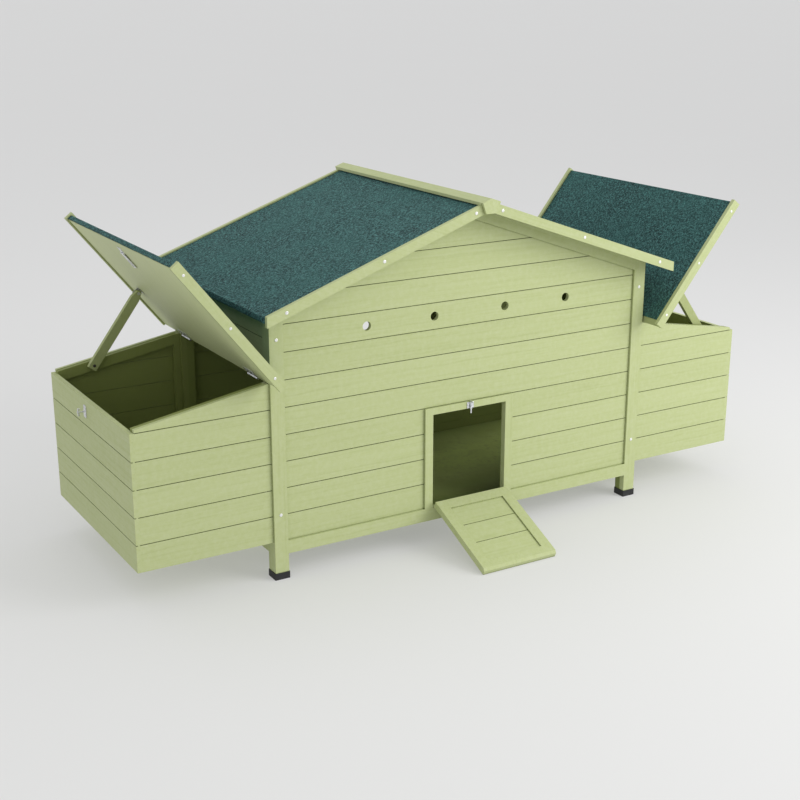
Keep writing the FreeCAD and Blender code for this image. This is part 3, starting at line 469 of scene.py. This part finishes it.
def plated_steel(name, bright, dull, smooth, rough):
    """Zinc plate: mostly bright, with dull patches and fine scratches."""
    material, net, shader, coords = blank_material(name)
    scuff = net.place(SCUFFS, Vector=coords)
    edge = net.place(WEAR_AND_SHADE, Vector=coords, Amount=0.8)
    tone = net.mix(scuff["Dull"], bright, dull)
    tone = net.mix(edge["Wear"], tone, bright)
    net.feed(shader.inputs["Base Color"], tone)
    shader.inputs["Metallic"].default_value = 0.92
    net.feed(shader.inputs["Roughness"], net.span(scuff["Dull"], 0.0, 1.0, smooth, rough))
    raise_surface(net, shader, scuff["Scratch"], 0.12, 0.0002)
    return material


def floor_finish():
    material, net, shader, coords = blank_material("Studio floor")
    haze = net.noise(coords, 0.6, 2.0, 0.5)
    net.feed(shader.inputs["Base Color"], net.mix(haze, FLOOR_TONE, FLOOR_HAZE))
    shader.inputs["Emission Color"].default_value = (1.0, 1.0, 0.998, 1.0)
    shader.inputs["Emission Strength"].default_value = FLOOR_GLOW
    shader.inputs["Roughness"].default_value = 0.85
    shader.inputs["Specular IOR Level"].default_value = 0.15
    return material


QUARTER = math.pi / 2.0
WHOLE = 3.0  # a pitch longer than the coop: one streak pattern for the whole piece
PAINT_ALONG_X = painted("Paint, grain left to right")
PAINT_ALONG_Y = painted("Paint, grain front to back", about_z=-QUARTER)
PAINT_ALONG_Z = painted("Paint, grain upright", about_y=QUARTER, pitch=2.0)
PAINT_ROOF = {}
PAINT_LID = {}
PAINT_LID_PLY = {}
for side, out_x in SIDES.items():
    PAINT_ROOF[side] = painted(
        "Paint, down the " + side + " slope", about_y=-out_x * ROOF_PITCH, pitch=WHOLE
    )
    PAINT_LID[side] = painted(
        "Paint, " + side + " lid", about_y=out_x * LID_OPEN, pitch=WHOLE, depth=0.7, smooth=0.6
    )
    # the lid's board: a lighter tint as painted light, and painted shade reaching far from the
    # hinge
    PAINT_LID_PLY[side] = painted(
        "Paint, " + side + " lid's board", about_y=out_x * LID_OPEN, pitch=WHOLE, depth=0.5,
        smooth=0.5, tint=PLY_PAINT_LIT, reach=0.35,
    )
PAINT_RAMP = painted("Paint, ramp", about_x=QUARTER, about_z=QUARTER, pitch=WHOLE)
# the stay gets a flat painted shade on every face
PAINT_STAY = painted("Paint, stay", about_y=QUARTER, pitch=2.0, inside=0.0, shaded=0.35)
FELT = roofing_felt()
PERCH_PINE = bare_pine()
FOOT_RUBBER = moulded_rubber()
FLOOR_PANEL = smooth_panel()
ZINC_PLATE = plated_steel("Zinc plate", ZINC, ZINC_DULL, 0.26, 0.48)
PALE_SCREW = plated_steel("Pale screw head", SCREW_PALE, ZINC, 0.30, 0.45)
PALE_SCREW.node_tree.nodes["Principled BSDF"].inputs["Metallic"].default_value = 0.35
DARK_SCREW = plated_steel("Dark screw head", SCREW_DARK, SCREW_BLACK, 0.35, 0.55)


# ---------------------------------------------------------------- built nodes


def dress(name, material, edge=0.0):
    """Gives a built node its finish, and softens its sharp edges."""
    node = NODES[name]
    for slot in node.material_slots:
        slot.material = material
    if not node.material_slots:
        node.data.materials.append(material)
    if edge:
        soft = node.modifiers.new("Eased edges", "BEVEL")
        soft.width = edge
        soft.segments = 2
        soft.limit_method = "ANGLE"
        soft.angle_limit = math.radians(35.0)
        soft.harden_normals = False


def dress_cabin():
    dress("front_wall", PAINT_ALONG_X)
    dress("back_wall", PAINT_ALONG_X)
    dress("cabin_floor", FLOOR_PANEL)
    for name in ("bottom_rails", "roof_beams"):
        dress(name, PAINT_ALONG_X, EASE)
    for name in ("posts_front", "posts_back", "pop_hole_frame"):
        dress(name, PAINT_ALONG_Z, EASE_BATTEN)
    dress("gable_rafters", PAINT_ROOF["right"], EASE)
    dress("rake_boards", PAINT_ROOF["right"], EASE_BATTEN)
    dress("ridge_cap", PAINT_ALONG_Y, EASE_BATTEN)
    dress("perches", PERCH_PINE)
    dress("perch_brackets", PERCH_PINE, EASE)
    dress("foot_caps", FOOT_RUBBER, EASE_RUBBER)
    dress("latch_plate", ZINC_PLATE, EASE_METAL)
    dress("latch_bolt", ZINC_PLATE, EASE_METAL)
    dress("sill_hinge_leaves", ZINC_PLATE)
    dress("ramp_frame", PAINT_RAMP, EASE_RAMP)
    dress("ramp_boards", PAINT_ALONG_X)
    dress("ramp_hinge_leaves", ZINC_PLATE)


def dress_side(side):
    dress("side_wall_" + side, PAINT_ALONG_Y)
    dress("hinge_rail_" + side, PAINT_ALONG_Y, EASE)
    dress("roof_panel_" + side, PAINT_ROOF[side])
    dress("nest_outer_wall_" + side, PAINT_ALONG_Y)
    dress("nest_end_walls_" + side, PAINT_ALONG_X)
    dress("nest_floor_" + side, PAINT_ALONG_X)
    dress("nest_frame_" + side, PAINT_ALONG_Z, EASE)
    dress("lid_panel_" + side, PAINT_LID_PLY[side], EASE_PLY)
    dress("lid_battens_" + side, PAINT_LID[side], EASE_BATTEN)
    dress("stay_" + side, PAINT_STAY, EASE_BATTEN)
    for part in ("nest_hinge_leaves_", "lid_hinge_leaves_", "hasp_leaf_", "hasp_strap_"):
        dress(part + side, ZINC_PLATE)
    for part in ("hasp_staple_", "hasp_knuckle_", "stay_bracket_"):
        dress(part + side, ZINC_PLATE, EASE_METAL)


# ---------------------------------------------------------------- made pieces


def new_piece(name, mesh, material, body):
    mesh.materials.append(material)
    piece = bpy.data.objects.new(name, mesh)
    bpy.context.scene.collection.objects.link(piece)
    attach(piece, body)
    return piece


def smooth_all(mesh):
    for face in mesh.polygons:
        face.use_smooth = True


def add_screw_head(bm, radius, place):
    """A domed countersunk head with a cross recess, its face towards +Z of the place."""
    rings = (0.0, 0.16, 0.34, 0.52, 0.74, 0.92, 1.0, 1.0)
    steps = 24
    grid = []
    for k, share in enumerate(rings):
        ring = []
        for i in range(steps):
            angle = 2.0 * math.pi * i / steps
            x = math.cos(angle) * share
            y = math.sin(angle) * share
            lift = 0.34 * math.sqrt(max(0.0, 1.0 - 0.92 * share * share))
            if min(abs(x), abs(y)) < 0.13 and share < 0.60:
                lift -= 0.26
            if k == len(rings) - 1:
                lift = 0.0
            ring.append(bm.verts.new(place @ Vector((x * radius, y * radius, lift * radius))))
            if share == 0.0:
                break
        grid.append(ring)
    for i in range(steps):
        bm.faces.new((grid[0][0], grid[1][i], grid[1][(i + 1) % steps]))
    for inner, outer in zip(grid[1:], grid[2:]):
        for i in range(steps):
            j = (i + 1) % steps
            bm.faces.new((inner[i], outer[i], outer[j], inner[j]))
    bm.faces.new(tuple(reversed(grid[-1])))


def facing(point, normal, spin):
    """A place at the point whose +Z is the normal, spun about it."""
    turn = Vector((0, 0, 1)).rotation_difference(Vector(normal)).to_matrix().to_4x4()
    return Matrix.Translation(Vector(point)) @ turn @ Matrix.Rotation(spin, 4, "Z")


def screws(name, places, radius, body, material=None, seed=1):
    """One piece holding the screw heads at these (point, normal) places."""
    dice = random.Random(seed)
    bm = bmesh.new()
    for point, normal in places:
        add_screw_head(bm, radius, facing(point, normal, dice.uniform(0.0, math.pi)))
    bmesh.ops.recalc_face_normals(bm, faces=bm.faces)
    mesh = bpy.data.meshes.new(name)
    bm.to_mesh(mesh)
    bm.free()
    smooth_all(mesh)
    return new_piece(name, mesh, material or PALE_SCREW, body)


def joint_axis(name):
    joint = JOINTS[name]
    return Vector(joint["pos_m"]), Vector(joint["axis"])


def box_middle(node):
    low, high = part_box(node)
    return (Vector(low) + Vector(high)) / 2.0


def solids_of(node):
    """The lowest and highest corner of each separate solid in a built node."""
    bm = bmesh.new()
    bm.from_mesh(NODES[node].data)
    bmesh.ops.remove_doubles(bm, verts=bm.verts, dist=1e-6)
    seen = set()
    found = []
    for start in bm.verts:
        if start.index in seen:
            continue
        stack = [start]
        seen.add(start.index)
        points = []
        while stack:
            vert = stack.pop()
            points.append(vert.co.copy())
            for edge in vert.link_edges:
                other = edge.other_vert(vert)
                if other.index not in seen:
                    seen.add(other.index)
                    stack.append(other)
        low = Vector([min(p[i] for p in points) for i in range(3)])
        high = Vector([max(p[i] for p in points) for i in range(3)])
        found.append((low, high))
    bm.free()
    return found


def cap_screw_heads():
    """Detailed heads in place of the plain caps on the posts and rake boards."""
    places = []
    middle = box_middle("cap_screws").y
    for low, high in solids_of("cap_screws"):
        centre = (low + high) / 2.0
        out = -1.0 if centre.y < middle else 1.0
        base = high.y if out < 0 else low.y
        places.append(((centre.x, base, centre.z), (0.0, out, 0.0)))
    heads = screws("cap_screw_heads", places, CAP_SCREW_R, "cabin", seed=3)
    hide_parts("cap_screws")


def lid_frame(side):
    """Unit vectors of the propped lid: out along it, and up from its felt; its hinge point."""
    out_x = SIDES[side]
    along = Vector((out_x * math.cos(LID_OPEN), 0.0, math.sin(LID_OPEN)))
    normal = Vector((-out_x * math.sin(LID_OPEN), 0.0, math.cos(LID_OPEN)))
    origin, _ = joint_axis("lid_" + side + "_hinge")
    return along, normal, Vector((origin.x, 0.0, origin.z))


def batten_screws(side):
    """Three pale screws along each lid batten, on its outer face."""
    along, normal, origin = lid_frame(side)
    low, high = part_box("lid_battens_" + side)
    places = []
    for y, out in ((low[1], -1.0), (high[1], 1.0)):
        for reach in (0.044, 0.227, 0.411):
            point = origin + along * reach + normal * 0.0095
            places.append(((point.x, y, point.z), (0.0, out, 0.0)))
    screws("lid_batten_screws_" + side, places, BATTEN_SCREW_R, "lid_" + side, seed=5)


def hinge_screws(side):
    """Screws in both leaves of the lid's two hinges."""
    along, normal, origin = lid_frame(side)
    out_x = SIDES[side]
    fixed = []
    moving = []
    for low, high in solids_of("lid_hinge_leaves_" + side):
        y = (low.y + high.y) / 2.0
        for shift in (-0.020, 0.0, 0.020):
            point = origin + along * 0.016
            moving.append(((point.x, y + shift, point.z), tuple(-normal)))
            face_x = origin.x - out_x * 0.002
            fixed.append(((face_x, y + shift, origin.z + 0.016), (out_x, 0.0, 0.0)))
    screws("hinge_screws_on_lid_" + side, moving, HINGE_SCREW_R, "lid_" + side, seed=7)
    screws("hinge_screws_on_rail_" + side, fixed, HINGE_SCREW_R, "cabin", seed=9)


def hasp_screws(side):
    """Screws through the hasp's leaf on the lid and the staple's plate on the wall."""
    along, normal, origin = lid_frame(side)
    out_x = SIDES[side]
    middle = box_middle("hasp_leaf_" + side).y
    leaf = []
    for shift in (-0.0075, 0.0075):
        point = origin + along * 0.4055
        leaf.append(((point.x, middle + shift, point.z), tuple(-normal)))
    screws("hasp_leaf_screws_" + side, leaf, LEAF_SCREW_R, "lid_" + side, seed=11)
    centre = box_middle("hasp_staple_" + side)
    low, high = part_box("nest_outer_wall_" + side)
    face = (high[0] if out_x > 0 else low[0]) + out_x * 0.0015
    plate = []
    for lift in (-0.0125, 0.0125):
        plate.append(((face, centre.y, centre.z + lift), (out_x, 0.0, 0.0)))
    screws("staple_screws_" + side, plate, STAPLE_SCREW_R, "cabin", seed=13)


def stay_screw(side):
    """The dark screw at the stay's lower end, on its inner face."""
    low, high = min(solids_of("stay_" + side), key=lambda box: (box[1] - box[0]).length)
    centre = (low + high) / 2.0
    inward = 1.0 if side == "right" else -1.0
    base = high.y if inward > 0 else low.y
    place = ((centre.x, base, centre.z), (0.0, inward, 0.0))
    name = "stay_screw_" + side
    screws(name, [place], STAY_SCREW_R, "stay_" + side, DARK_SCREW, 15)


def latch_screws():
    centre = box_middle("latch_plate")
    low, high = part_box("latch_plate")
    face = high[1] - 0.0015
    places = []
    for across in (-0.0078, 0.0078):
        for lift in (-0.0055, 0.0055):
            places.append(((across, face, centre.z + lift), (0.0, -1.0, 0.0)))
    screws("latch_plate_screws", places, LATCH_SCREW_R, "cabin", seed=17)


def ramp_hinge_screws():
    """Screws in the ramp's hinges: two in each leaf."""
    origin, _ = joint_axis("ramp_hinge")
    turn = Matrix.Rotation(RAMP_SWING, 3, "X")
    on_sill = []
    on_ramp = []
    for low, high in solids_of("ramp_hinge_leaves"):
        x = (low.x + high.x) / 2.0
        for shift in (-0.013, 0.013):
            on_sill.append(((x + shift, origin.y + 0.002, origin.z - 0.017), (0.0, -1.0, 0.0)))
            arm = turn @ Vector((0.0, 0.002, 0.017))
            out = turn @ Vector((0.0, -1.0, 0.0))
            on_ramp.append(((x + shift, origin.y + arm.y, origin.z + arm.z), tuple(out)))
    screws("sill_hinge_screws", on_sill, RAMP_SCREW_R, "cabin", seed=19)
    screws("ramp_hinge_screws", on_ramp, RAMP_SCREW_R, "ramp", seed=21)


def felt_sheet(name, node, body, along, normal, down, corner, run, y0, y1, lip):
    """Felt laid on a panel and turned down over its outer edge, faintly uneven.

    The profile runs from the inner edge along the slope, round the outer edge and down;
    corner is a point on the inner edge of the felt's top at y = 0, run its length."""
    dice = random.Random(name)
    thick = FELT_THICK
    bend = FELT_BEND
    top_steps = 56
    path = []
    for i in range(top_steps + 1):
        path.append((along * ((run - bend) * i / top_steps), normal))
    edge = along * run
    out = (-down).cross(Vector((0, 1, 0)))
    out = out if out.dot(along) > 0 else -out
    for k in range(1, 7):
        t = k / 6.0
        bent = along * (run - bend * (1.0 - t) ** 2) + down * (bend * t * t)
        path.append((bent, (normal * (1.0 - t) + out * t).normalized()))
    for k in range(1, 4):
        path.append((edge + down * (bend + (lip - bend) * k / 3.0), out))
    rows = 72
    phase = [dice.uniform(0.0, 6.28) for _ in range(6)]
    bm = bmesh.new()
    upper = []
    under = []
    for j in range(rows + 1):
        y = y0 + (y1 - y0) * j / rows
        top_line = []
        low_line = []
        for i, (place, face) in enumerate(path):
            r = place.length
            wave = math.sin(23.0 * r + 9.0 * y + phase[0])
            wave *= math.sin(11.0 * y - 6.0 * r + phase[1])
            wave += 0.5 * math.sin(41.0 * r - 17.0 * y + phase[2])
            dip = -0.00035 * (1.0 + 0.66 * wave) if i <= top_steps else 0.0
            ragged = 0.0
            if i == len(path) - 1:
                frayed = math.sin(61.0 * y + phase[3]) * math.sin(27.0 * y + phase[4])
                ragged = 0.0005 * (1.0 + frayed)
            point = corner + place + face * dip - down * ragged
            inner = point - face * thick
            top_line.append(bm.verts.new((point.x, y, point.z)))
            low_line.append(bm.verts.new((inner.x, y, inner.z)))
        upper.append(top_line)
        under.append(low_line)
    for j in range(rows):
        for i in range(len(path) - 1):
            bm.faces.new((upper[j][i], upper[j][i + 1], upper[j + 1][i + 1], upper[j + 1][i]))
            bm.faces.new((under[j][i], under[j + 1][i], under[j + 1][i + 1], under[j][i + 1]))
    for j in range(rows):
        for i in (0, len(path) - 1):
            bm.faces.new((upper[j][i], upper[j + 1][i], under[j + 1][i], under[j][i]))
    for j in (0, rows):
        for i in range(len(path) - 1):
            bm.faces.new((upper[j][i], upper[j][i + 1], under[j][i + 1], under[j][i]))
    bmesh.ops.recalc_face_normals(bm, faces=bm.faces)
    mesh = bpy.data.meshes.new(name)
    bm.to_mesh(mesh)
    bm.free()
    smooth_all(mesh)
    piece = new_piece(name, mesh, FELT, body)
    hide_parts(node)


def roof_felts():
    for side, out_x in SIDES.items():
        low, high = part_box("roof_felt_" + side)
        along = Vector((out_x * math.cos(ROOF_PITCH), 0.0, -math.sin(ROOF_PITCH)))
        normal = Vector((out_x * math.sin(ROOF_PITCH), 0.0, math.cos(ROOF_PITCH)))
        reach = max(abs(low[0]), abs(high[0]))
        corner = Vector((0.0, 0.0, high[2]))
        felt_sheet(
            "roof_felt_sheet_" + side, "roof_felt_" + side, "cabin", along, normal,
            Vector((0, 0, -1)), corner, reach / math.cos(ROOF_PITCH), low[1], high[1], ROOF_LIP,
        )


def lid_felts():
    for side in SIDES:
        along, normal, origin = lid_frame(side)
        low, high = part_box("lid_felt_" + side)
        corner = origin + along * LID_START + normal * LID_FELT_UP
        felt_sheet(
            "lid_felt_sheet_" + side, "lid_felt_" + side, "lid_" + side, along, normal,
            -normal, corner, LID_END - LID_START, low[1], high[1], LID_LIP,
        )


# ---------------------------------------------------------------- stage


def studio_floor():
    half = 90.0
    steps = 8
    bm = bmesh.new()
    bmesh.ops.create_grid(bm, x_segments=steps, y_segments=steps, size=half)
    mesh = bpy.data.meshes.new("studio_floor")
    bm.to_mesh(mesh)
    bm.free()
    mesh.materials.append(floor_finish())
    floor = bpy.data.objects.new("studio_floor", mesh)
    bpy.context.scene.collection.objects.link(floor)


def soft_light(name, place, target, size, power, tone):
    lamp = bpy.data.lights.new(name, "AREA")
    lamp.shape = "DISK"
    lamp.size = size
    lamp.energy = power
    lamp.color = tone
    holder = bpy.data.objects.new(name, lamp)
    holder.location = place
    aim = Vector(target) - Vector(place)
    holder.rotation_euler = aim.to_track_quat("-Z", "Y").to_euler()
    bpy.context.scene.collection.objects.link(holder)


def studio_light():
    soft_light("key", (2.6, -3.0, 2.2), (0.1, 0.0, 0.45), 3.4, 116.0, KEY_TONE)
    soft_light("top", (0.4, 0.6, 4.6), (0.0, 0.0, 0.0), 4.0, 25.0, WHITE)
    world = bpy.data.worlds.new("Studio air")
    bpy.context.scene.world = world
    world.use_nodes = True
    air = world.node_tree.nodes["Background"]
    air.inputs["Color"].default_value = AIR_TONE
    air.inputs["Strength"].default_value = AIR_GLOW


def camera():
    lens = bpy.data.cameras.new("camera")
    lens.lens = VIEW_LENS
    lens.sensor_width = VIEW_SENSOR
    holder = bpy.data.objects.new("camera", lens)
    holder.location = VIEW_FROM
    holder.rotation_euler = (QUARTER - VIEW_DOWN, 0.0, VIEW_ROUND)
    bpy.context.scene.collection.objects.link(holder)
    bpy.context.scene.camera = holder


def main():
    camera()
    studio_floor()
    studio_light()
    bpy.context.scene.view_settings.view_transform = "Standard"
    dress_cabin()
    for side in SIDES:
        dress_side(side)
        batten_screws(side)
        hinge_screws(side)
        hasp_screws(side)
        stay_screw(side)
    cap_screw_heads()
    latch_screws()
    ramp_hinge_screws()
    roof_felts()
    lid_felts()


main()
